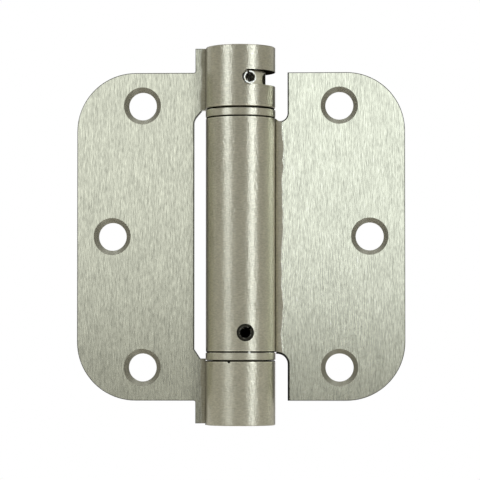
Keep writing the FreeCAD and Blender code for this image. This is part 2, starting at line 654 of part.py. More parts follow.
def build_adjusting_plug():
    """The plug that winds the spring: key socket on top, pin holes round it, journal and spigot below."""
    body = turn_body("adjusting_plug", [
        ("0", "Fits.spigot_foot", None),
        ("Sizes.spigot_radius", "Fits.spigot_foot", None),
        ("Sizes.spigot_radius", "Fits.journal_foot", None),
        ("Sizes.journal_radius", "Fits.journal_foot", None),
        ("Sizes.journal_radius", "Fits.plug_shoulder", None),
        ("Fits.plug_radius", "Fits.plug_shoulder", None),
        ("Fits.plug_radius", "Fits.plug_top - Sizes.plug_bevel", None),
        ("Fits.plug_radius - Sizes.plug_bevel", "Fits.plug_top", None),
        ("0", "Fits.plug_top", None),
    ])
    key = new_sketch(body, "key_outline", "XY_Plane", reach="Fits.plug_top")
    corner = "Sizes.key_width / (2 * cos(30 deg))"
    draw_outline(key, [
        (f"{corner} * cos({60 * i} deg)", f"{corner} * sin({60 * i} deg)", None) for i in range(6)])
    cut_one_way(body, "key_socket", key, "Sizes.key_depth", BACK)
    hole = new_sketch(body, "pin_hole_outline", "XZ_Plane", reach="Sizes.tension_pin_foot")
    draw_circle(hole, "hole", "0", "Fits.tension_pin_z", "Fits.pin_hole_radius")
    first = cut_one_way(body, "pin_hole", hole, "Fits.plug_radius", FRONT)
    ring = body.newObject("PartDesign::PolarPattern", "pin_holes")
    ring.Originals = [first]
    axis = next(part for part in body.Origin.OriginFeatures if part.Role == "Z_Axis")
    ring.Axis = (axis, [""])
    ring.Angle = 360
    ring.setExpression("Occurrences", "Sizes.pin_hole_count")
    body.Tip = ring
    doc.recompute()
    cut_tang_slot(body, "Fits.spigot_foot", FRONT)
    set_azimuth(body, "Sizes.slot_start")
    return body


def build_spring_anchor():
    """The plug that holds the spring's lower end in the tube, drilled for its pin."""
    body = turn_body("spring_anchor", [
        ("0", "Fits.anchor_foot", None),
        ("Fits.anchor_radius - Sizes.plug_bevel", "Fits.anchor_foot", None),
        ("Fits.anchor_radius", "Fits.anchor_foot + Sizes.plug_bevel", None),
        ("Fits.anchor_radius", "Fits.anchor_shoulder", None),
        ("Sizes.spigot_radius", "Fits.anchor_shoulder", None),
        ("Sizes.spigot_radius", "Fits.anchor_tip", None),
        ("0", "Fits.anchor_tip", None),
    ])
    cut_tang_slot(body, "Fits.anchor_tip", BACK)
    hole = new_sketch(body, "anchor_cross_outline", "XZ_Plane",
                      azimuth="Sizes.anchor_pin_angle - Sizes.slot_start",
                      reach="-Sizes.anchor_pin_reach")
    draw_circle(hole, "hole", "0", "Fits.anchor_pin_z", "Sizes.anchor_pin_radius")
    cut_one_way(body, "anchor_cross_hole", hole, "Sizes.anchor_pin_reach + Sizes.barrel_radius", FRONT)
    set_azimuth(body, "Sizes.slot_start")
    return body


def build_pivot_plug():
    """The plug pressed in the bottom knuckle, with the journal that the door leaf turns on."""
    return turn_body("pivot_plug", [
        ("0", "Fits.pivot_foot", None),
        ("Fits.bore_radius - Sizes.plug_bevel", "Fits.pivot_foot", None),
        ("Fits.bore_radius", "Fits.pivot_foot + Sizes.plug_bevel", None),
        ("Fits.bore_radius", "Fits.pivot_shoulder", None),
        ("Sizes.journal_radius", "Fits.pivot_shoulder", None),
        ("Sizes.journal_radius", "Fits.pivot_tip - Sizes.plug_bevel", None),
        ("Sizes.journal_radius - Sizes.plug_bevel", "Fits.pivot_tip", None),
        ("0", "Fits.pivot_tip", None),
    ])


def build_rolled_pin(label, azimuth, height, radius, bore, foot, tip, slit_angle):
    """A hollow pin rolled from strip, with a slit along it, lying on a line out from the axis."""
    body = new_body(label)
    ring = new_sketch(body, label + "_section", "XZ_Plane", reach=foot)
    draw_circle(ring, "outside", "0", height, radius)
    draw_circle(ring, "bore", "0", height, bore)
    tube = body.newObject("PartDesign::Pad", label + "_tube")
    tube.Profile = ring
    tube.setExpression("Length", f"({tip}) - ({foot})")
    doc.recompute()
    slit = new_sketch(body, label + "_slit_outline", "XZ_Plane", reach=foot)
    sine, cosine = f"sin({slit_angle} * 1 deg)", f"cos({slit_angle} * 1 deg)"

    def slit_corner(across, out):
        x = f"({across}) * {cosine} + ({out}) * {sine}"
        z = f"({height}) - ({across}) * {sine} + ({out}) * {cosine}"
        return x, z, None

    half, past = "Sizes.pin_slit / 2", f"{radius} + {BEYOND}"
    draw_outline(slit, [
        slit_corner(f"-{half}", "0"),
        slit_corner(half, "0"),
        slit_corner(half, past),
        slit_corner(f"-{half}", past),
    ])
    cut_through(body, label + "_slit", slit)
    set_azimuth(body, azimuth)
    return body


# The spring

def draw_tang_path(sketch, side):
    """From the end of a coil round the bend and straight across the axis; side is 1 or -1 along Y."""
    centre = at("Fits.tang_centre_x", f"{side} * Sizes.tang_bend")
    radius = value("Sizes.tang_bend")
    coil = "Sizes.coil_radius * cos(Fits.tang_angle * 1 deg)"
    coil_side = f"{side} * Sizes.coil_radius * sin(Fits.tang_angle * 1 deg)"
    coil_end = at(coil, coil_side)
    straight = FreeCAD.Vector(centre.x, 0, 0)
    inner_end = at("-Sizes.spigot_radius", "0")
    bend = sketch.addGeometry(
        arc_through(straight, centre + FreeCAD.Vector(radius, 0, 0), coil_end), False)
    tang = sketch.addGeometry(Part.LineSegment(straight, inner_end), False)
    straight_end = ends_nearest(sketch.Geometry[bend], straight)
    sketch.addConstraint(Sketcher.Constraint("Tangent", bend, straight_end, tang, 1))
    sketch.addConstraint(Sketcher.Constraint("Horizontal", tang))
    tie_point(sketch, "inner_end", tang, 2, "-Sizes.spigot_radius", "0")
    tie_point(sketch, "coil_end", bend, 3 - straight_end, coil, coil_side)
    tie(sketch, "bend", "Sizes.tang_bend", "Radius", bend)


def draw_wire(sketch, height):
    """The square section of the wire, centred on the coil."""
    inner, outer = (f"Sizes.coil_radius {sign} Sizes.wire_width / 2" for sign in "-+")
    low, high = (f"{height} {sign} Sizes.wire_width / 2" for sign in "-+")
    draw_outline(sketch, [
        (inner, low, None),
        (outer, low, None),
        (outer, high, None),
        (inner, high, None),
    ])


def build_spring():
    """The torsion spring: close coils of square wire, with each end bent in across the axis."""
    body = new_body("torsion_spring")
    ends = (("lower", 1, "Fits.spring_foot"), ("upper", -1, "Fits.spring_top"))
    wires = {}
    for name, side, height in ends:
        wires[name] = new_sketch(body, name + "_wire", "XZ_Plane", azimuth=f"{side} * Fits.tang_angle")
        draw_wire(wires[name], height)
    coils = body.newObject("PartDesign::AdditiveHelix", "coils")
    coils.Profile = wires["lower"]
    coils.ReferenceAxis = (wires["lower"], ["V_Axis"])
    coils.Mode = "height-turns-angle"
    coils.setExpression("Height", "Fits.spring_top - Fits.spring_foot")
    coils.setExpression("Turns", "Sizes.coil_turns - Fits.tang_angle / 180")
    doc.recompute()
    for name, side, height in ends:
        path = new_sketch(body, name + "_tang_path", "XY_Plane", reach=height)
        draw_tang_path(path, side)
        tang = body.newObject("PartDesign::AdditivePipe", name + "_tang")
        tang.Profile = wires[name]
        tang.Spine = path
        doc.recompute()
    set_azimuth(body, "Sizes.slot_start")
    return body


# Build, check and write

def check_document():
    """Stop if anything in the document failed to recompute."""
    for part in doc.Objects:
        if "Invalid" in part.State or "Error" in part.State:
            raise RuntimeError(f"{part.Name} is {part.State}")


def write_parts(pieces):
    os.makedirs("parts", exist_ok=True)
    for piece in pieces:
        shape = piece.Shape
        if shape.isNull() or not shape.isValid():
            raise RuntimeError(f"{piece.Label} has no valid shape")
        shape.exportStep(f"parts/{piece.Label}.step")
        print(piece.Label, len(shape.Solids), "solid,", round(shape.Volume, 1), "cubic millimetres")


def main():
    fill_sheet()
    add_fits()
    pieces = [
        build_frame_leaf(),
        build_door_leaf(),
        build_bearing("upper_bearing", "Fits.tube_top", "Fits.upper_ring_top", "Fits.upper_hub_foot", 1),
        build_bearing("lower_bearing", "Fits.tube_foot", "Fits.lower_ring_foot", "Fits.lower_hub_top", -1),
        build_adjusting_plug(),
        build_rolled_pin(
            "tension_pin", "Sizes.slot_start", "Fits.tension_pin_z", "Sizes.tension_pin_radius",
            "Sizes.tension_pin_bore", "Sizes.tension_pin_foot",
            "Sizes.barrel_radius + Sizes.tension_pin_proud", "Sizes.tension_slit_angle"),
        build_spring_anchor(),
        build_rolled_pin(
            "anchor_pin", "Sizes.anchor_pin_angle", "Fits.anchor_pin_z", "Sizes.anchor_pin_radius",
            "Sizes.anchor_pin_bore", "-Sizes.anchor_pin_reach",
            "Sizes.barrel_radius - Sizes.anchor_pin_sunk", "Sizes.anchor_slit_angle"),
        build_pivot_plug(),
        build_spring(),
    ]
    doc.recompute()
    check_document()
    write_parts(pieces)


main()
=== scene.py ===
import math

import bmesh
import bpy
from bpy.props import FloatProperty, FloatVectorProperty, PointerProperty
from mathutils import Euler, Matrix, Vector


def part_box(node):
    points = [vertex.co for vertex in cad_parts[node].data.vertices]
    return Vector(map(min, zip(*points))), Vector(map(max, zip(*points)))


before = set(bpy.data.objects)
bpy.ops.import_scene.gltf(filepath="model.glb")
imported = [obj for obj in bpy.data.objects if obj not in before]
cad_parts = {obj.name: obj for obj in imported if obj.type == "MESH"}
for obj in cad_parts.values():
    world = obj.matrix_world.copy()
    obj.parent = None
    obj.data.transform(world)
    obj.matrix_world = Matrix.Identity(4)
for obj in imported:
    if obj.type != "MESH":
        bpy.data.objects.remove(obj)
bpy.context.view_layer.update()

bl_info = {
    "name": "Spring Loaded Door Hinge",
    "version": (1, 0, 0),
    "blender": (4, 5, 0),
    "location": "3D View > Sidebar > Hinge",
    "description": "Finishes a spring loaded door hinge and sets it in a plain studio",
    "category": "Object",
}

# Everything is in metres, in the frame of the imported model: Z runs up along the barrel, X points to the
# door leaf, and the screws are sunk in the face that looks along -Y. An azimuth is counted from that face
# towards the door leaf.

BEARINGS = ("upper_bearing", "lower_bearing")
PLUGS = ("adjusting_plug", "pivot_plug", "spring_anchor")


def cross_pin(name):
    """Azimuth and height of the middle line of a pin that stands across the barrel."""
    low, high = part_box(name)
    middle = (low + high) / 2
    return math.atan2(middle.x, -middle.y), middle.z


# Sizes and places that the finishes follow

BARREL_RADIUS = -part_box("frame_leaf")[0][1]
BARREL_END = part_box("frame_leaf")[1][2]         # its upper end; the lower one is as far below the middle
BEND_END = 0.0108                               # beyond this distance from the axis a leaf is flat
NECK_END = 0.0127                               # where the door leaf's neck ends and its notches begin
END_BEVEL = 0.0002                              # on the ends of the knuckles
TOP_KNUCKLE_END = 0.0345                        # the end that faces the upper bearing
TUBE_ENDS = (-0.0313, 0.0319)                   # ends of the long knuckle between its two bearings
FOOT_KNUCKLE_END = -0.03366                     # the end that faces the lower bearing
SCREW_HOLES = ((0.0267, 0.0355), (0.0349, 0.0))   # from the axis and from the middle of a leaf
SINK_RADIUS = 0.00505
TENSION_PIN = cross_pin("tension_pin")
TENSION_PIN_BORE = 0.00135
ANCHOR_PIN = cross_pin("anchor_pin")
ANCHOR_PIN_BORE = 0.00145
BORE_FADE = 0.00003                             # half the width over which a bore's edge fades
BORE_MARGIN = 0.00005                           # how far past a pin's bore the shade behind it reaches
BARREL_MASK = BARREL_RADIUS * 1.002             # the masks reach a little past the forms that they cover
SINK_MASK = SINK_RADIUS * 1.02
FACING_FRONT = -0.05                            # below this Y of its normal a surface faces the front

# Marks of making and wear, and painted light and shade

BRIGHT_NICK = (0.0027, -0.0314, 0.00035)        # x, z and size of a nick over the lower bearing
SHADED_NICK = (-0.0027, -0.0339, 0.0004)          # and of one in the foot knuckle, just below that bearing, painted dark as shade
BURRS = (0.0018, 0.0022)                        # from the tension pin's middle: where they thin and end
LIT_LIPS = (TOP_KNUCKLE_END, *TUBE_ENDS, FOOT_KNUCKLE_END)
LIT_LIP_BAND = (END_BEVEL, END_BEVEL * 2.5)        # from a lip: where its painted highlight begins and ends
LIT_LIP_LEVEL = 1.22                               # and how bright that painted highlight is, against the barrel
SHADED_BEVEL = END_BEVEL * 1.2                    # how far from a lip its bevel is painted dark as shade
RIM_STEP = (0.0001, 0.00025)                    # how deep the painted shade in the bearings' rim steps begins, and where it is full
COAT_GLINTS_TO = 0.0018                           # from the anchor pin's middle: where the painted highlights beside its bore end
SLOW_WANDER = (0.011, 0.0011)                   # length and swing of the waves in the brushed flat's border
QUICK_WANDER = (0.0004, 0.0003)                 # and of its fine teeth
FLAT_FADE = (-0.0002, 0.0003)                   # how softly the brushed flat begins
BEND_SHADE_LEVEL = 0.65                               # painted shade: how light a leaf is at its shaded bend, against its flat

LEAF_MARKS = {
    # brushed_from and bend_shade_to are distances from the axis: where the brush lines begin, and how far
    # out the painted shade at a bend reaches. Each shaded notch has the height of its edge, the radius of
    # its corner, the distance from the axis where the painted shade along it starts, and that line's width.
    "frame_leaf": {
        "brushed_from": 0.0107,
        "bend_shade_to": 0.0145,
        "shaded_bevels": (FOOT_KNUCKLE_END,),
        "shaded_notches": (),
    },
    "door_leaf": {
        "brushed_from": 0.0114,
        "bend_shade_to": None,
        "shaded_bevels": TUBE_ENDS,
        "shaded_notches": ((0.03125, 0.0021, 0.0112, 0.00035), (-0.0318, 0.0028, 0.0094, 0.00055)),
    },
}

# Values that the finishes share, and the sizes of their spots

NOISE_RANGE = (0.3, 0.7)                        # most of a noise's values lie between these
NOISE_DETAIL = 3.0
NOISE_TURN = (0.7, 0.5, 0.9)                    # turns each noise out of line with the pieces
EVEN = (1.0, 1.0, 1.0)                          # the stretch of a noise that has no direction
SHORT_STROKES = 0.55                            # their share in the brushing; the rest is long strokes
BRUSHED_DEPTH = 0.00003                         # relief of the brushed nickel
MOTTLED_DEPTH = 0.00002                         # and of the tension pin
TURNED_DEPTH = 0.00001                          # and of what is turned, coated or drawn
STROKE_RELIEF = 0.15                            # how much of the brushed relief each kind of mark has
LINE_RELIEF = 0.4
GRIT_RELIEF = 1.9
FLAT_WAVES = 0.15
BARREL_WAVES = 2.4
EDGE_ROUGHNESS = 0.6
SINK_ROUGHNESS = 0.95
BORE_SHADE_BLACK = (0.002, 0.002, 0.0015)             # painted shade in the anchor pin's bore and on the plug behind it
PIN_MOTTLE = 0.0004
PIN_GLINTS = 0.0007
PLUG_GLINTS = 0.0006
COAT_MOTTLE = 0.00055
DRAW_LINES = 0.00033


# Sizes and colours that a user may change

class HingeFinish(bpy.types.PropertyGroup):
    # Painted light and shade: both leaves are one nickel plate. The frame leaf's flat colour is darker as
    # painted shade, and the door leaf's is lighter as painted light.
    frame_leaf_shaded_nickel: FloatVectorProperty(
        name="Frame Leaf", description="Colour of the flat of the frame leaf", subtype="COLOR",
        size=3, min=0.0, max=1.0, default=(0.67, 0.665, 0.55))
    door_leaf_lit_nickel: FloatVectorProperty(
        name="Door Leaf", description="Colour of the flat of the door leaf", subtype="COLOR",
        size=3, min=0.0, max=1.0, default=(0.80, 0.81, 0.685))
    # Painted shade: the knuckles are the leaves' own nickel plate, given a darker colour as shade; the
    # rings, plugs and tension pin's rim share it.
    barrel_shaded_nickel: FloatVectorProperty(
        name="Barrel Nickel", description="Colour of the rolled knuckles and their rings", subtype="COLOR",
        size=3, min=0.0, max=1.0, default=(0.492, 0.459, 0.35))
    edge_colour: FloatVectorProperty(
        name="Stamped Edges", description="Colour of the leaves' edges and of the cuts in the barrel",
        subtype="COLOR", size=3, min=0.0, max=1.0, default=(0.17, 0.163, 0.135))
    # Painted shade: near black, put in the joints, on the slot's walls, along the door leaf's notches, in a
    # nick, in the rims' steps and in and behind the tension pin's bore.
    painted_shade_colour: FloatVectorProperty(
        name="Dark Lines", subtype="COLOR", size=3, min=0.0, max=1.0, default=(0.014, 0.013, 0.009),
        description="Colour of the joints, the slot's walls, the dark lines and the tension pin's bore")
    # Painted shade: the countersinks are the leaves' nickel, painted darker as shade in their recess.
    sink_shade_colour: FloatVectorProperty(
        name="Countersinks", description="Colour of the countersinks", subtype="COLOR",
        size=3, min=0.0, max=1.0, default=(0.43, 0.405, 0.315))
    pin_steel: FloatVectorProperty(
        name="Tension Pin", description="Colour of the bare steel of the tension pin", subtype="COLOR",
        size=3, min=0.0, max=1.0, default=(0.66, 0.65, 0.58))
    pin_coat: FloatVectorProperty(
        name="Anchor Pin", description="Colour of the phosphate coat of the anchor pin", subtype="COLOR",
        size=3, min=0.0, max=1.0, default=(0.028, 0.026, 0.019))
    spring_colour: FloatVectorProperty(
        name="Spring", description="Colour of the oiled spring wire", subtype="COLOR",
        size=3, min=0.0, max=1.0, default=(0.12, 0.12, 0.115))
    frame_leaf_roughness: FloatProperty(
        name="Frame Leaf Roughness", description="How dull the flat of the frame leaf is",
        min=0.0, max=1.0, default=0.26, subtype="FACTOR")
    door_leaf_roughness: FloatProperty(
        name="Door Leaf Roughness", description="How dull the flat of the door leaf is",
        min=0.0, max=1.0, default=0.22, subtype="FACTOR")
    barrel_roughness: FloatProperty(
        name="Barrel Roughness", description="How dull the barrel is",
        min=0.0, max=1.0, default=0.37, subtype="FACTOR")
    brushing: FloatProperty(
        name="Brushing", description="How strongly the brush lines spread the light across them",
        min=0.0, max=1.0, default=0.9, subtype="FACTOR")
    stroke_width: FloatProperty(
        name="Stroke Width", description="Width of a brush stroke", subtype="DISTANCE", unit="LENGTH",
        min=0.00005, max=0.002, default=0.00018, precision=5)


class HingeStudio(bpy.types.PropertyGroup):
    camera_place: FloatVectorProperty(
        name="Camera", description="Place of the camera", subtype="TRANSLATION", unit="LENGTH",
        size=3, default=(0.0289, -0.6488, -0.0303))
    camera_turn: FloatProperty(
        name="Camera Turn", description="Turn of the camera about the vertical", subtype="ANGLE",
        unit="ROTATION", default=math.radians(2.39))
    camera_rise: FloatProperty(
        name="Camera Rise", description="How far the camera looks up", subtype="ANGLE",
        unit="ROTATION", default=math.radians(1.47))
    camera_shift: FloatVectorProperty(
        name="Camera Shift", description="Shift of the lens, to the right and up", size=2,
        default=(-0.0152, 0.0971), precision=4)
    lens: FloatProperty(
        name="Lens", description="Focal length on a 36 mm sensor", subtype="DISTANCE_CAMERA",
        unit="CAMERA", min=20.0, max=400.0, default=180.3)
    floor_height: FloatProperty(
        name="Floor", description="Height of the floor", subtype="DISTANCE", unit="LENGTH",
        default=-0.1, precision=4)
    floor_colour: FloatVectorProperty(
        name="Floor Colour", description="Colour of the floor", subtype="COLOR",
        size=3, min=0.0, max=1.0, default=(0.78, 0.737, 0.67))


# Node trees

class NodeTree:
    """A node tree, with short ways to add a node, join two sockets and reckon with what they carry."""

    def __init__(self, tree):
        self.tree = tree

    def add(self, kind, **settings):
        node = self.tree.nodes.new(kind)
        for name, setting in settings.items():
            setattr(node, name, setting)
        return node

    def join(self, output, entry):
        self.tree.links.new(output, entry)

    def enter(self, source, entry):
        """Put a number or a vector in an entry, or join a socket to it."""
        if isinstance(source, bpy.types.NodeSocket):
            self.join(source, entry)
        else:
            entry.default_value = source

    def enter_colour(self, colour, entry):
        """Put a colour of three numbers in an entry, or join a socket to it."""
        if isinstance(colour, bpy.types.NodeSocket):
            self.join(colour, entry)
        else:
            entry.default_value = (*colour, 1.0)

    def math(self, operation, *sources):
        node = self.add("ShaderNodeMath", operation=operation)
        for entry, source in zip(node.inputs, sources):
            self.enter(source, entry)
        return node.outputs[0]

    def split(self, vector):
        node = self.add("ShaderNodeSeparateXYZ")
        self.join(vector, node.inputs[0])
        return node.outputs["X"], node.outputs["Y"], node.outputs["Z"]

    def length(self, first, second):
        squares = (self.math("MULTIPLY", side, side) for side in (first, second))
        return self.math("SQRT", self.math("ADD", *squares))

    def distance(self, first, second, middle):
        """Distance of a point, given by two coordinates, from a middle given by its own two."""
        return self.length(self.math("SUBTRACT", first, middle[0]), self.math("SUBTRACT", second, middle[1]))

    def span(self, source, low, high, to_low=0.0, to_high=1.0):
        """Map low..high to to_low..to_high, and hold the ends."""
        node = self.add("ShaderNodeMapRange")
        for name, number in (("From Min", low), ("From Max", high), ("To Min", to_low), ("To Max", to_high)):
            node.inputs[name].default_value = number
        self.join(source, node.inputs["Value"])
        return node.outputs["Result"]

    def vary(self, noise, to_low, to_high):
        """Map most of a noise's values to to_low..to_high."""
        return self.span(noise, *NOISE_RANGE, to_low, to_high)

    def either(self, first, *others):
        for other in others:
            first = self.math("MAXIMUM", first, other)
        return first

    def both(self, first, *others):
        for other in others:
            first = self.math("MULTIPLY", first, other)
        return first

    def lacks(self, mask):
        return self.math("SUBTRACT", 1.0, mask)

    def pick(self, amount, first, second):
        """The first number where amount is 0, the second where it is 1."""
        return self.math("ADD", self.both(first, self.lacks(amount)), self.both(second, amount))

    def mix_shaders(self, amount, first, second):
        """The first node's shader where amount is 0, the second's where it is 1."""
        node = self.add("ShaderNodeMixShader")
        self.join(amount, node.inputs["Fac"])
        self.join(first.outputs[0], node.inputs[1])
        self.join(second.outputs[0], node.inputs[2])
        return node.outputs[0]


class MaterialTree(NodeTree):
    """The node tree of a new material, with the place and the facing of the point that it colours."""

    def __init__(self, name):
        self.material = bpy.data.materials.new(name)
        self.material.use_nodes = True
        super().__init__(self.material.node_tree)
        self.shader = self.tree.nodes["Principled BSDF"]
        coordinates = self.add("ShaderNodeTexCoord")
        self.point = coordinates.outputs["Object"]
        self.x, self.y, self.z = self.split(self.point)
        self.facing_x, self.facing_y, self.facing_z = self.split(coordinates.outputs["Normal"])
        self.reach = self.length(self.x, self.y)

    def noise(self, size, stretch=EVEN):
        """Noise of the given cell size, drawn out along the axes whose number in stretch is small."""
        mapping = self.add("ShaderNodeMapping")
        mapping.inputs["Scale"].default_value = stretch
        mapping.inputs["Rotation"].default_value = NOISE_TURN
        self.join(self.point, mapping.inputs["Vector"])
        noise = self.add("ShaderNodeTexNoise")
        noise.inputs["Scale"].default_value = 1.0 / size
        noise.inputs["Detail"].default_value = NOISE_DETAIL
        self.join(mapping.outputs["Vector"], noise.inputs["Vector"])
        return noise.outputs["Fac"]

    def blend(self, amount, first, second):
        """The first colour where amount is 0, the second where it is 1."""
        node = self.add("ShaderNodeMix", data_type="RGBA")
        self.join(amount, node.inputs["Factor"])
        self.enter_colour(first, node.inputs["A"])
        self.enter_colour(second, node.inputs["B"])
        return node.outputs["Result"]

    def shade(self, colour, factor):
        """The colour made darker or lighter by a factor that varies over the piece."""
        node = self.add("ShaderNodeVectorMath", operation="SCALE")
        self.enter(colour, node.inputs[0])
        self.join(factor, node.inputs["Scale"])
        return node.outputs[0]

    def feed(self, name, source):
        """Give one of the shader's entries a number or a socket."""
        self.enter(source, self.shader.inputs[name])

    def bump(self, height, distance):
        node = self.add("ShaderNodeBump")
        node.inputs["Distance"].default_value = distance
        self.join(height, node.inputs["Height"])
        self.feed("Normal", node.outputs["Normal"])

    def brush(self, along_x, brushing):
        """Brush lines that spread the light along X where along_x is 1, and along Z where it is 0."""
        spread = self.add("ShaderNodeCombineXYZ")
        self.enter(along_x, spread.inputs["X"])
        self.join(self.lacks(along_x), spread.inputs["Z"])
        self.feed("Tangent", spread.outputs[0])
        self.feed("Anisotropic", brushing)

    def blacken(self, mask):
        """Take the metal's shine away where the mask is 1, so that only the base colour is left there, as
        painted shade.
        """
        self.feed("Metallic", self.lacks(mask))
        self.feed("Specular IOR Level", 0.0)


# Distances on the surface

def distance_from_pin(nodes, pin):
    """Distance from the middle line of a cross pin."""
    azimuth, height = pin
    across = nodes.math("ADD", nodes.math("MULTIPLY", nodes.x, math.cos(azimuth)),
                        nodes.math("MULTIPLY", nodes.y, math.sin(azimuth)))
    return nodes.length(across, nodes.math("SUBTRACT", nodes.z, height))


def distance_from_height(nodes, height):
    """Distance above or below a height."""
    return nodes.math("ABSOLUTE", nodes.math("SUBTRACT", nodes.z, height))


def wander(nodes, size, swing, stretch):
    """A distance that strays over the surface, by the given swing either way."""
    return nodes.span(nodes.noise(size, stretch), 0.0, 1.0, -swing, swing)


# Masks, which are 1 where their first words are true of the surface and 0 elsewhere

def in_bore(nodes, pin, radius):
    """In the bore of a cross pin."""
    return nodes.span(distance_from_pin(nodes, pin), radius + BORE_FADE, radius - BORE_FADE)


def behind_bore(nodes, pin, radius):
    """In the line of a cross pin's bore, on the piece that closes it."""
    return nodes.math("LESS_THAN", distance_from_pin(nodes, pin), radius + BORE_MARGIN)


def near_screw_hole(nodes):
    """Within the rim of a countersink."""
    out, up = nodes.math("ABSOLUTE", nodes.x), nodes.math("ABSOLUTE", nodes.z)
    gaps = (nodes.distance(out, up, hole) for hole in SCREW_HOLES)
    return nodes.math("LESS_THAN", nodes.math("MINIMUM", *gaps), SINK_MASK)


def near_notch(nodes, edge_height, corner, start, line_width):
    """On the front face, in a thin line along the rounded corner of one of the door leaf's notches."""
    side = math.copysign(1.0, edge_height)
    height = nodes.math("MULTIPLY", nodes.z, side)
    past_x = nodes.math("SUBTRACT", nodes.x, NECK_END - corner)
    down = nodes.math("SUBTRACT", abs(edge_height) + corner, height)
    gap = nodes.length(nodes.math("MAXIMUM", past_x, 0.0), nodes.math("MAXIMUM", down, 0.0))
    near = nodes.math("LESS_THAN", gap, corner + line_width)
    same_side = nodes.math("GREATER_THAN", height, 0.0)
    past_start = nodes.math("GREATER_THAN", nodes.x, start)
    faces_front = nodes.math("LESS_THAN", nodes.facing_y, FACING_FRONT)
    return nodes.both(near, same_side, past_start, faces_front)


def near_nick(nodes, nick):
    """On a small nick in the front of the barrel."""
    nick_x, nick_z, size = nick
    gap = nodes.distance(nodes.x, nodes.z, (nick_x, nick_z))
    return nodes.both(nodes.math("LESS_THAN", gap, size), nodes.math("LESS_THAN", nodes.y, 0.0))


def brushed_flat(nodes, brushed_from):
    """On the brushed flat of a leaf, whose border beside the barrel is ragged."""
    slow = wander(nodes, *SLOW_WANDER, (0.0, 0.0, 1.0))
    quick = wander(nodes, *QUICK_WANDER, (1.0, 1.0, 0.2))
    ragged = nodes.math("ADD", nodes.reach, nodes.math("ADD", slow, quick))
    begins, full = FLAT_FADE
    return nodes.span(ragged, brushed_from + begins, brushed_from + full)


def stamped_edge(nodes):
    """On a leaf's outer edges and in its holes, where the surface turns away from the front and the back."""
    past_bend = nodes.math("GREATER_THAN", nodes.reach, BEND_END)
    return nodes.both(nodes.span(nodes.math("ABSOLUTE", nodes.facing_y), 0.97, 0.85), past_bend)


def cut_barrel(nodes, in_barrel):
    """On the cut faces and in the bore of the barrel, where the surface doesn't look away from the axis."""
    outward = nodes.math("ADD", nodes.both(nodes.x, nodes.facing_x), nodes.both(nodes.y, nodes.facing_y))
    return nodes.both(nodes.span(nodes.math("DIVIDE", outward, nodes.reach), 0.62, 0.45), in_barrel)


def level_joint(nodes, in_barrel):
    """On the faces in the barrel that look up or down, other than its two ends."""
    level = nodes.span(nodes.math("ABSOLUTE", nodes.facing_z), 0.75, 0.85)
    inside = nodes.math("LESS_THAN", nodes.math("ABSOLUTE", nodes.z), BARREL_END - END_BEVEL * 2)
    return nodes.both(level, in_barrel, inside)


def lit_lip(nodes, in_barrel, height):
    """On the lip of a knuckle that ends at this height, where a highlight is painted."""
    gap = distance_from_height(nodes, height)
    lit_from, lit_to = LIT_LIP_BAND
    past_bevel = nodes.math("GREATER_THAN", gap, lit_from)
    return nodes.both(past_bevel, nodes.math("LESS_THAN", gap, lit_to), in_barrel)


def burrs(nodes, in_barrel, width):
    """On the bright burrs that staking has raised round the tension pin."""
    near_pin = nodes.span(distance_from_pin(nodes, TENSION_PIN), *BURRS, 1.0, 0.0)
    spots = nodes.span(nodes.noise(width * 2), 0.5, 0.56)
    return nodes.both(near_pin, spots, in_barrel, nodes.math("LESS_THAN", nodes.y, 0.0))


# Nickel of the leaves

class LeafTree(MaterialTree):
    """The node tree of a leaf's nickel, with masks and noises that its colour, dullness and relief share."""

    def __init__(self, name, width, brushed_from):
        super().__init__(name)
        self.width = width
        self.flat = brushed_flat(self, brushed_from)
        self.in_barrel = self.math("LESS_THAN", self.reach, BARREL_MASK)
        self.edges = self.either(stamped_edge(self), cut_barrel(self, self.in_barrel))
        self.sunk = self.both(near_screw_hole(self), self.edges)
        self.grain = brushed_grain(self, width)
        self.speckle = self.noise(width * 1.7, (0.35, 0.35, 1.0))


def brushed_grain(nodes, width):
    """Short and long brush strokes along Z, as one number."""
    short = nodes.noise(width, (1.0, 1.0, 0.13))
    long = nodes.noise(width * 1.2, (1.0, 1.0, 0.05))
    return nodes.pick(SHORT_STROKES, long, short)


def gritty(nodes, speckle, width):
    """Relief of the barrel's nickel: fine grit over faint lines round Z."""
    grit = nodes.noise(width * 2)
    return nodes.math("ADD", nodes.both(speckle, LINE_RELIEF), nodes.both(grit, GRIT_RELIEF))


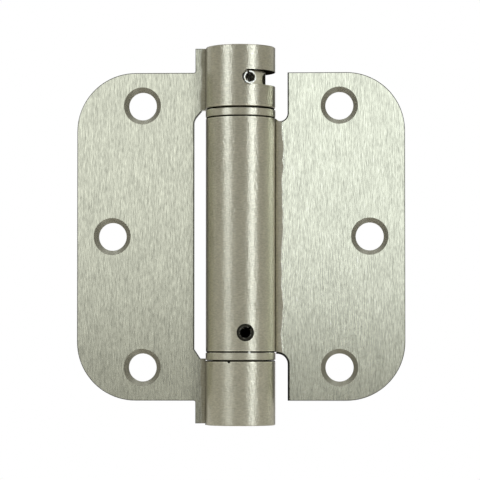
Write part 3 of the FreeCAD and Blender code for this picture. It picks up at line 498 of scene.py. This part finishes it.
def leaf_colour(nodes, finish, flat_colour, bend_shade_to):
    """Colour of a leaf's flat, knuckles, stamped edges and countersinks, with painted highlights on the
    knuckles' lips, painted shade at a shaded bend and painted shade in the countersinks.
    """
    base = nodes.blend(nodes.flat, finish.barrel_shaded_nickel, flat_colour)
    lines = nodes.vary(nodes.speckle, 0.84, 1.14)
    strokes = nodes.vary(nodes.grain, 0.5, 1.42)
    clouds = nodes.span(nodes.noise(nodes.width * 18, (1.0, 1.0, 0.4)), 0.35, 0.65, 0.96, 1.04)
    base = nodes.shade(base, nodes.both(nodes.pick(nodes.flat, lines, strokes), clouds))
    base = nodes.blend(burrs(nodes, nodes.in_barrel, nodes.width), base, finish.pin_steel)
    # painted highlights on the knuckles' lips
    for height in LIT_LIPS:
        base = nodes.shade(base, nodes.pick(lit_lip(nodes, nodes.in_barrel, height), 1.0, LIT_LIP_LEVEL))
    if bend_shade_to:
        # painted shade: the leaf is darker from its bend out to bend_shade_to
        bend_shading = nodes.span(nodes.reach, BEND_END, bend_shade_to, BEND_SHADE_LEVEL, 1.0)
        base = nodes.shade(base, nodes.pick(nodes.in_barrel, bend_shading, 1.0))
    base = nodes.blend(nodes.edges, base, finish.edge_colour)
    # painted shade in the countersinks
    return nodes.blend(nodes.sunk, base, finish.sink_shade_colour)


def leaf_shadows(nodes, shaded_bevels, shaded_notches):
    """Painted shade: in the joints of the barrel and on the slot's walls, and on the leaf's shaded bevels,
    notches and nick.
    """
    dark = level_joint(nodes, nodes.in_barrel)
    for height in shaded_bevels:
        bevel = nodes.math("LESS_THAN", distance_from_height(nodes, height), SHADED_BEVEL)
        dark = nodes.either(dark, nodes.both(bevel, nodes.in_barrel))
    for notch in shaded_notches:
        dark = nodes.either(dark, near_notch(nodes, *notch))
    return nodes.either(dark, near_nick(nodes, SHADED_NICK))


def leaf_dullness(nodes, barrel_roughness, flat_roughness):
    """Roughness of a leaf, duller on its stamped edges and dullest in its countersinks."""
    dullness = nodes.pick(nodes.flat, barrel_roughness, flat_roughness)
    edges, sinks = nodes.both(nodes.edges, EDGE_ROUGHNESS), nodes.both(nodes.sunk, SINK_ROUGHNESS)
    return nodes.math("ADD", nodes.either(dullness, edges, sinks), nodes.vary(nodes.grain, 0.03, -0.03))


def leaf_relief(nodes):
    """Relief of a leaf: brush strokes on its flat, grit and waves on its barrel."""
    strokes = nodes.both(nodes.grain, STROKE_RELIEF)
    fine = nodes.pick(nodes.flat, gritty(nodes, nodes.speckle, nodes.width), strokes)
    waves = nodes.noise(nodes.width * 5, (1.0, 1.0, 0.7))
    return nodes.math("ADD", fine, nodes.both(waves, nodes.pick(nodes.flat, BARREL_WAVES, FLAT_WAVES)))


def leaf_nickel(leaf, finish, flat_colour, flat_roughness):
    """Satin nickel of a leaf, brushed along Z on its flat and round Z on its knuckles.

    A leaf with painted shade at its bend spreads the light along X from its flat right up to the barrel.
    """
    marks = LEAF_MARKS[leaf]
    nodes = LeafTree(leaf + "_nickel", finish.stroke_width, marks["brushed_from"])
    bright_nick = near_nick(nodes, BRIGHT_NICK)
    # painted shade: near black in the joints, on the slot's walls and on the shaded bevels, notches and nick
    dark = leaf_shadows(nodes, marks["shaded_bevels"], marks["shaded_notches"])
    dark = nodes.both(dark, nodes.lacks(bright_nick))
    base = leaf_colour(nodes, finish, flat_colour, marks["bend_shade_to"])
    base = nodes.blend(bright_nick, base, finish.pin_steel)
    nodes.feed("Base Color", nodes.blend(dark, base, finish.painted_shade_colour))
    nodes.feed("Roughness", leaf_dullness(nodes, finish.barrel_roughness, flat_roughness))
    nodes.bump(leaf_relief(nodes), BRUSHED_DEPTH)
    along_x = nodes.lacks(nodes.in_barrel) if marks["bend_shade_to"] else nodes.flat
    nodes.brush(nodes.both(along_x, nodes.lacks(nodes.sunk)), finish.brushing)
    nodes.blacken(dark)
    return nodes.material


# Finishes of the other pieces

def ring_nickel(finish):
    """The bearings: brushed round Z like the barrel, with painted shade in the steps of their rims."""
    nodes = MaterialTree("ring_nickel")
    width = finish.stroke_width
    speckle = nodes.noise(width * 1.2, (0.3, 0.3, 1.0))
    base = nodes.shade(finish.barrel_shaded_nickel, nodes.vary(speckle, 0.88, 1.12))
    nick = near_nick(nodes, BRIGHT_NICK)
    base = nodes.blend(nick, base, finish.pin_steel)
    light_to, dark_from = RIM_STEP
    # painted shade in the steps of the rims
    shaded_step = nodes.span(nodes.reach, BARREL_RADIUS - light_to, BARREL_RADIUS - dark_from)
    shaded_step = nodes.both(shaded_step, nodes.lacks(nick))
    nodes.feed("Base Color", nodes.blend(shaded_step, base, finish.painted_shade_colour))
    nodes.feed("Roughness", nodes.vary(speckle, 0.38, 0.3))
    nodes.bump(gritty(nodes, speckle, width), BRUSHED_DEPTH)
    nodes.brush(0.0, finish.brushing)
    nodes.blacken(shaded_step)
    return nodes.material


def turned_nickel(finish):
    """Nickel plate over turned steel, with fine rings round Z; painted shade, with a few painted glints,
    where the pins' bores end on it.
    """
    nodes = MaterialTree("turned_nickel")
    rings = nodes.noise(finish.stroke_width, (0.05, 0.05, 1.0))
    faces = nodes.noise(finish.stroke_width * 3)
    shade = nodes.both(nodes.vary(rings, 0.85, 1.1), nodes.vary(faces, 0.94, 1.04))
    base = nodes.shade(finish.barrel_shaded_nickel, shade)
    glints = nodes.span(nodes.noise(PLUG_GLINTS), 0.5, 0.54)
    shade_and_glints = nodes.blend(glints, finish.painted_shade_colour, finish.pin_steel)
    base = nodes.blend(behind_bore(nodes, TENSION_PIN, TENSION_PIN_BORE), base, shade_and_glints)
    base = nodes.blend(behind_bore(nodes, ANCHOR_PIN, ANCHOR_PIN_BORE), base, BORE_SHADE_BLACK)
    nodes.feed("Base Color", base)
    nodes.feed("Roughness", nodes.vary(rings, 0.38, 0.3))
    nodes.bump(nodes.math("ADD", rings, faces), TURNED_DEPTH)
    nodes.feed("Metallic", 1.0)
    return nodes.material


def bright_pin_steel(finish):
    """Bare spring steel of the tension pin: a bright rim round a bore painted dark as shade, with a few
    painted glints in it.
    """
    nodes = MaterialTree("bright_pin_steel")
    mottle = nodes.noise(PIN_MOTTLE)
    glints = nodes.span(nodes.noise(PIN_GLINTS), 0.5, 0.56)
    bright = nodes.blend(nodes.span(mottle, 0.4, 0.6), finish.barrel_shaded_nickel, finish.pin_steel)
    bore = nodes.blend(glints, finish.painted_shade_colour, finish.pin_steel)
    nodes.feed("Base Color", nodes.blend(in_bore(nodes, TENSION_PIN, TENSION_PIN_BORE), bright, bore))
    nodes.feed("Roughness", nodes.vary(mottle, 0.25, 0.4))
    nodes.bump(mottle, MOTTLED_DEPTH)
    nodes.feed("Metallic", 1.0)
    return nodes.material


def phosphated_steel(finish):
    """Dark phosphate coat of the anchor pin: lighter in spots beside its bore as painted highlights, and
    black in it as painted shade.
    """
    nodes = MaterialTree("phosphated_steel")
    mottle = nodes.noise(COAT_MOTTLE)
    bore = in_bore(nodes, ANCHOR_PIN, ANCHOR_PIN_BORE)
    # painted highlights in spots on the rim of the bore
    rim = nodes.span(distance_from_pin(nodes, ANCHOR_PIN), COAT_GLINTS_TO, ANCHOR_PIN_BORE + BORE_MARGIN)
    rim_glints = nodes.both(rim, nodes.span(mottle, 0.45, 0.6))
    coat = nodes.blend(rim_glints, finish.pin_coat, finish.edge_colour)
    # painted shade: black in the bore
    nodes.feed("Base Color", nodes.blend(bore, coat, BORE_SHADE_BLACK))
    nodes.feed("Roughness", nodes.vary(mottle, 0.55, 0.4))
    nodes.bump(mottle, TURNED_DEPTH)
    nodes.blacken(bore)
    return nodes.material


def oiled_spring_steel(finish):
    """Oiled spring wire, with draw lines round the coils."""
    nodes = MaterialTree("oiled_spring_steel")
    lines = nodes.noise(DRAW_LINES, (0.08, 0.08, 1.0))
    nodes.feed("Base Color", nodes.shade(finish.spring_colour, nodes.vary(lines, 0.8, 1.5)))
    nodes.feed("Roughness", nodes.vary(lines, 0.42, 0.3))
    nodes.bump(lines, TURNED_DEPTH)
    nodes.feed("Metallic", 1.0)
    return nodes.material


def dress(names, material):
    """Give CAD pieces their material."""
    for name in names:
        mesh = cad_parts[name].data
        mesh.materials.clear()
        mesh.materials.append(material)


# Operators for the pieces

class HINGE_OT_leaves(bpy.types.Operator):
    """Finish both leaves in brushed satin nickel"""
    bl_idname = "hinge.leaves"
    bl_label = "Leaves"

    def execute(self, context):
        finish = context.scene.hinge_finish
        frame_leaf = leaf_nickel("frame_leaf", finish, finish.frame_leaf_shaded_nickel, finish.frame_leaf_roughness)
        door_leaf = leaf_nickel("door_leaf", finish, finish.door_leaf_lit_nickel, finish.door_leaf_roughness)
        dress(("frame_leaf",), frame_leaf)
        dress(("door_leaf",), door_leaf)
        return {"FINISHED"}


class HINGE_OT_turned_pieces(bpy.types.Operator):
    """Finish the bearings, the plugs and the spring's anchor"""
    bl_idname = "hinge.turned_pieces"
    bl_label = "Turned Pieces"

    def execute(self, context):
        finish = context.scene.hinge_finish
        dress(BEARINGS, ring_nickel(finish))
        dress(PLUGS, turned_nickel(finish))
        return {"FINISHED"}


class HINGE_OT_pins(bpy.types.Operator):
    """Finish the tension pin and the anchor pin"""
    bl_idname = "hinge.pins"
    bl_label = "Rolled Pins"

    def execute(self, context):
        finish = context.scene.hinge_finish
        dress(("tension_pin",), bright_pin_steel(finish))
        dress(("anchor_pin",), phosphated_steel(finish))
        return {"FINISHED"}


class HINGE_OT_spring(bpy.types.Operator):
    """Finish the torsion spring"""
    bl_idname = "hinge.spring"
    bl_label = "Torsion Spring"

    def execute(self, context):
        dress(("torsion_spring",), oiled_spring_steel(context.scene.hinge_finish))
        return {"FINISHED"}


# The studio

FLOOR_HALF = 0.6                # half the width of the floor
FADE = (0.16, 0.36)             # where the floor starts to turn white, and where it is all white
FLOOR_BEHIND = (0.0, 0.1)       # how far back the metal starts to see that white, and sees all of it
FLOOR_MOTTLE = 0.08
BACKDROP_EDGE = (0.96, 0.98)    # how straight back a mirrored ray must look to see the white backdrop
BACK_WALL = (0.77, 0.9)         # how straight back it must look for the room to darken
BACK_WALL_LEVEL = 0.15          # and how dark the room is there
ROOM_SIDES = (0.4, 0.95)        # how far sideways it must look for the room to brighten
ROOM_SIDES_LEVEL = 1.15         # and how bright the room is there
LAMP_COLOUR = (0.9, 1.0, 1.17)

ROOM_LEVELS = (
    # how high over the horizon in degrees, and the colour of the room there: a bright band over a dim floor
    (-90.0, (0.25, 0.24, 0.21)),
    (-10.0, (0.25, 0.24, 0.21)),
    (-5.0, (0.13, 0.121, 0.10)),
    (-0.8, (0.20, 0.189, 0.162)),
    (0.8, (0.80, 0.82, 0.80)),
    (2.0, (1.05, 1.09, 1.08)),
    (11.0, (1.05, 1.09, 1.08)),
    (15.0, (0.24, 0.236, 0.215)),
    (45.0, (0.22, 0.216, 0.20)),
    (90.0, (0.5, 0.5, 0.48)),
)

SOFTBOXES = (
    # name, azimuth, elevation, distance, width, height, brightness
    ("left_strip", -46.0, 39.0, 0.38, 0.115, 0.15, 10.4),
    ("right_strip", 44.5, 27.0, 1.2, 0.33, 0.6, 9.4),
    ("upper_box", 5.0, 55.0, 1.4, 1.0, 0.7, 0.8),
    ("back_fill", 205.0, 40.0, 1.4, 0.8, 0.6, 1.0),
)


def shown_white(nodes, backdrop):
    """1 for rays from the camera, and for mirrored rays and rays through glass where the backdrop is."""
    path = nodes.add("ShaderNodeLightPath")
    mirrored = nodes.either(path.outputs["Is Glossy Ray"], path.outputs["Is Transmission Ray"])
    return nodes.either(path.outputs["Is Camera Ray"], nodes.both(mirrored, backdrop))


def floor_paint(studio):
    """Pale paint that turns white away from the hinge."""
    nodes = MaterialTree("studio_floor")
    mottle = nodes.noise(FLOOR_MOTTLE)
    nodes.feed("Base Color", nodes.shade(studio.floor_colour, nodes.vary(mottle, 0.97, 1.0)))
    nodes.feed("Roughness", 0.9)
    far = nodes.span(nodes.reach, *FADE)
    shown = shown_white(nodes, nodes.span(nodes.y, *FLOOR_BEHIND))
    white = nodes.add("ShaderNodeEmission")
    surface = nodes.mix_shaders(nodes.both(far, shown), nodes.shader, white)
    nodes.join(surface, nodes.tree.nodes["Material Output"].inputs["Surface"])
    return nodes.material


def build_floor(studio):
    """A square floor that keeps the hinge's shadow."""
    mesh = bpy.data.meshes.new("studio_floor")
    shape = bmesh.new()
    bmesh.ops.create_grid(shape, x_segments=1, y_segments=1, size=FLOOR_HALF,
                          matrix=Matrix.Translation((0.0, 0.0, studio.floor_height)))
    shape.to_mesh(mesh)
    shape.free()
    floor = bpy.data.objects.new("studio_floor", mesh)
    bpy.context.scene.collection.objects.link(floor)
    mesh.materials.append(floor_paint(studio))


def room_colour(nodes, rise):
    """Colour of the room, which changes with the sine of the height over the horizon."""
    ramp = nodes.add("ShaderNodeValToRGB")
    stops = ramp.color_ramp.elements
    stops.remove(stops[1])
    stops[0].position = 0.0
    stops[0].color = (*ROOM_LEVELS[0][1], 1.0)
    for degrees, colour in ROOM_LEVELS[1:]:
        stop = stops.new(math.sin(math.radians(degrees)) / 2 + 0.5)
        stop.color = (*colour, 1.0)
    nodes.join(nodes.span(rise, -1.0, 1.0), ramp.inputs["Fac"])
    return ramp.outputs["Color"]


def build_world():
    """White to the camera; to the metal, a white backdrop straight behind it and a grey room around."""
    world = bpy.data.worlds.new("studio_room")
    world.use_nodes = True
    bpy.context.scene.world = world
    world.node_tree.nodes.clear()
    nodes = NodeTree(world.node_tree)
    sideways, back, rise = nodes.split(nodes.add("ShaderNodeTexCoord").outputs["Generated"])
    room = nodes.add("ShaderNodeBackground")
    nodes.join(room_colour(nodes, rise), room.inputs["Color"])
    side_walls = nodes.span(nodes.math("ABSOLUTE", sideways), *ROOM_SIDES, 1.0, ROOM_SIDES_LEVEL)
    back_wall = nodes.span(back, *BACK_WALL, 1.0, BACK_WALL_LEVEL)
    nodes.join(nodes.both(side_walls, back_wall), room.inputs["Strength"])
    white = nodes.add("ShaderNodeBackground")
    white.inputs["Color"].default_value = (1.0, 1.0, 1.0, 1.0)
    surface = nodes.mix_shaders(shown_white(nodes, nodes.span(back, *BACKDROP_EDGE)), room, white)
    nodes.join(surface, nodes.add("ShaderNodeOutputWorld").inputs["Surface"])


def add_softbox(name, azimuth, elevation, distance, width, height, brightness):
    """An area lamp that looks at the hinge; its power follows from its size and how bright it looks."""
    lamp = bpy.data.lights.new(name, "AREA")
    lamp.shape = "RECTANGLE"
    lamp.size = width
    lamp.size_y = height
    lamp.energy = brightness * math.pi * width * height
    lamp.color = LAMP_COLOUR
    obj = bpy.data.objects.new(name, lamp)
    bpy.context.scene.collection.objects.link(obj)
    turn, rise = math.radians(azimuth), math.radians(elevation)
    out = Vector((math.sin(turn) * math.cos(rise), -math.cos(turn) * math.cos(rise), math.sin(rise)))
    obj.location = out * distance
    obj.rotation_euler = (-out).to_track_quat("-Z", "Y").to_euler()


def add_camera(studio):
    data = bpy.data.cameras.new("studio_camera")
    data.lens = studio.lens
    data.sensor_width = 36.0
    data.shift_x, data.shift_y = studio.camera_shift
    camera = bpy.data.objects.new("studio_camera", data)
    bpy.context.scene.collection.objects.link(camera)
    camera.location = studio.camera_place
    camera.rotation_euler = Euler((math.radians(90) + studio.camera_rise, 0.0, studio.camera_turn))
    bpy.context.scene.camera = camera


class HINGE_OT_studio(bpy.types.Operator):
    """Set up the floor, the room, the soft lights and the camera"""
    bl_idname = "hinge.studio"
    bl_label = "Studio"

    def execute(self, context):
        studio = context.scene.hinge_studio
        build_floor(studio)
        build_world()
        for softbox in SOFTBOXES:
            add_softbox(*softbox)
        add_camera(studio)
        context.scene.view_settings.view_transform = "Standard"
        return {"FINISHED"}


class HINGE_PT_panel(bpy.types.Panel):
    bl_idname = "HINGE_PT_panel"
    bl_label = "Door Hinge"
    bl_space_type = "VIEW_3D"
    bl_region_type = "UI"
    bl_category = "Hinge"

    def draw(self, context):
        layout = self.layout
        for group in (context.scene.hinge_finish, context.scene.hinge_studio):
            box = layout.box()
            for name in group.__annotations__:
                box.prop(group, name)
        for operator in OPERATORS:
            layout.operator(operator.bl_idname)


GROUPS = (HingeFinish, HingeStudio)
OPERATORS = (
    HINGE_OT_leaves,
    HINGE_OT_turned_pieces,
    HINGE_OT_pins,
    HINGE_OT_spring,
    HINGE_OT_studio,
)


def register():
    for cls in GROUPS + OPERATORS + (HINGE_PT_panel,):
        bpy.utils.register_class(cls)
    bpy.types.Scene.hinge_finish = PointerProperty(type=HingeFinish)
    bpy.types.Scene.hinge_studio = PointerProperty(type=HingeStudio)


def unregister():
    for name in ("hinge_finish", "hinge_studio"):
        delattr(bpy.types.Scene, name)
    for cls in reversed(GROUPS + OPERATORS + (HINGE_PT_panel,)):
        bpy.utils.unregister_class(cls)


def main():
    register()
    bpy.ops.hinge.leaves()
    bpy.ops.hinge.turned_pieces()
    bpy.ops.hinge.pins()
    bpy.ops.hinge.spring()
    bpy.ops.hinge.studio()


if __name__ == "__main__":
    main()
